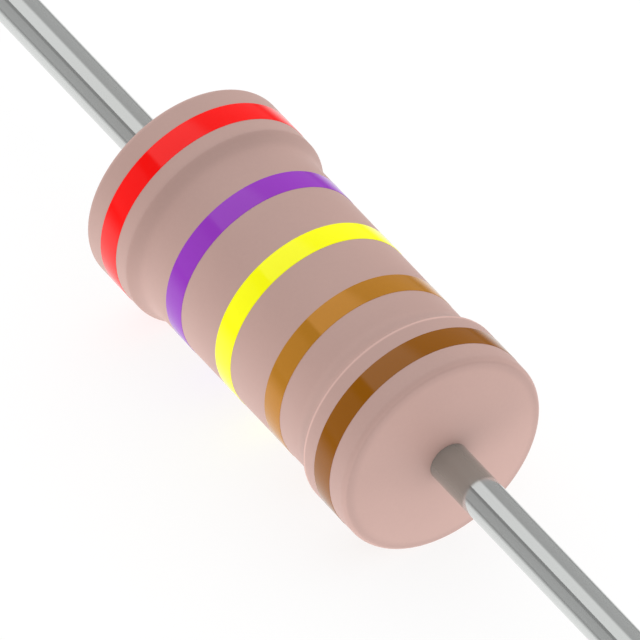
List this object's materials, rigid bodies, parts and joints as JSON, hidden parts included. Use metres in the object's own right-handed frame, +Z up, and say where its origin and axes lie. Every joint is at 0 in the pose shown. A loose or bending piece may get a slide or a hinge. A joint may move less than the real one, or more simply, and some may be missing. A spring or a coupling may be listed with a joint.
{
  "type": "axial resistor",
  "caption": "Axial power film resistor: dog-bone lacquered body with printed colour bands and a straight tinned wire out of each end.",
  "frame": {"origin": "centre of the body, on the wire axis", "axes": "+X along the wire axis towards the end with the brown band, +Z up, with the first (red) band at -X"},
  "size_m": [0.065, 0.0044, 0.0044],
  "materials": {
    "rod_ceramic": "matte fired ceramic",
    "film_metal": "thin dark metal film",
    "cap_steel": "tinned drawn steel",
    "lead_tin": "bright tinned copper wire",
    "lacquer": "satin dusty pink lacquer",
    "ink_red": "gloss printed ink",
    "ink_violet": "gloss printed ink",
    "ink_yellow": "gloss printed ink",
    "ink_gold": "metallic gold printed ink",
    "ink_brown": "gloss printed ink"
  },
  "bodies": {
    "root": {"ceramic_rod": "rod_ceramic", "resistive_film": "film_metal", "end_cap_left": "cap_steel", "end_cap_right": "cap_steel", "lead_left": "lead_tin", "lead_right": "lead_tin", "coating": "lacquer", "band_red": "ink_red", "band_violet": "ink_violet", "band_yellow": "ink_yellow", "band_gold": "ink_gold", "band_brown": "ink_brown"}
  },
  "joints": []
}
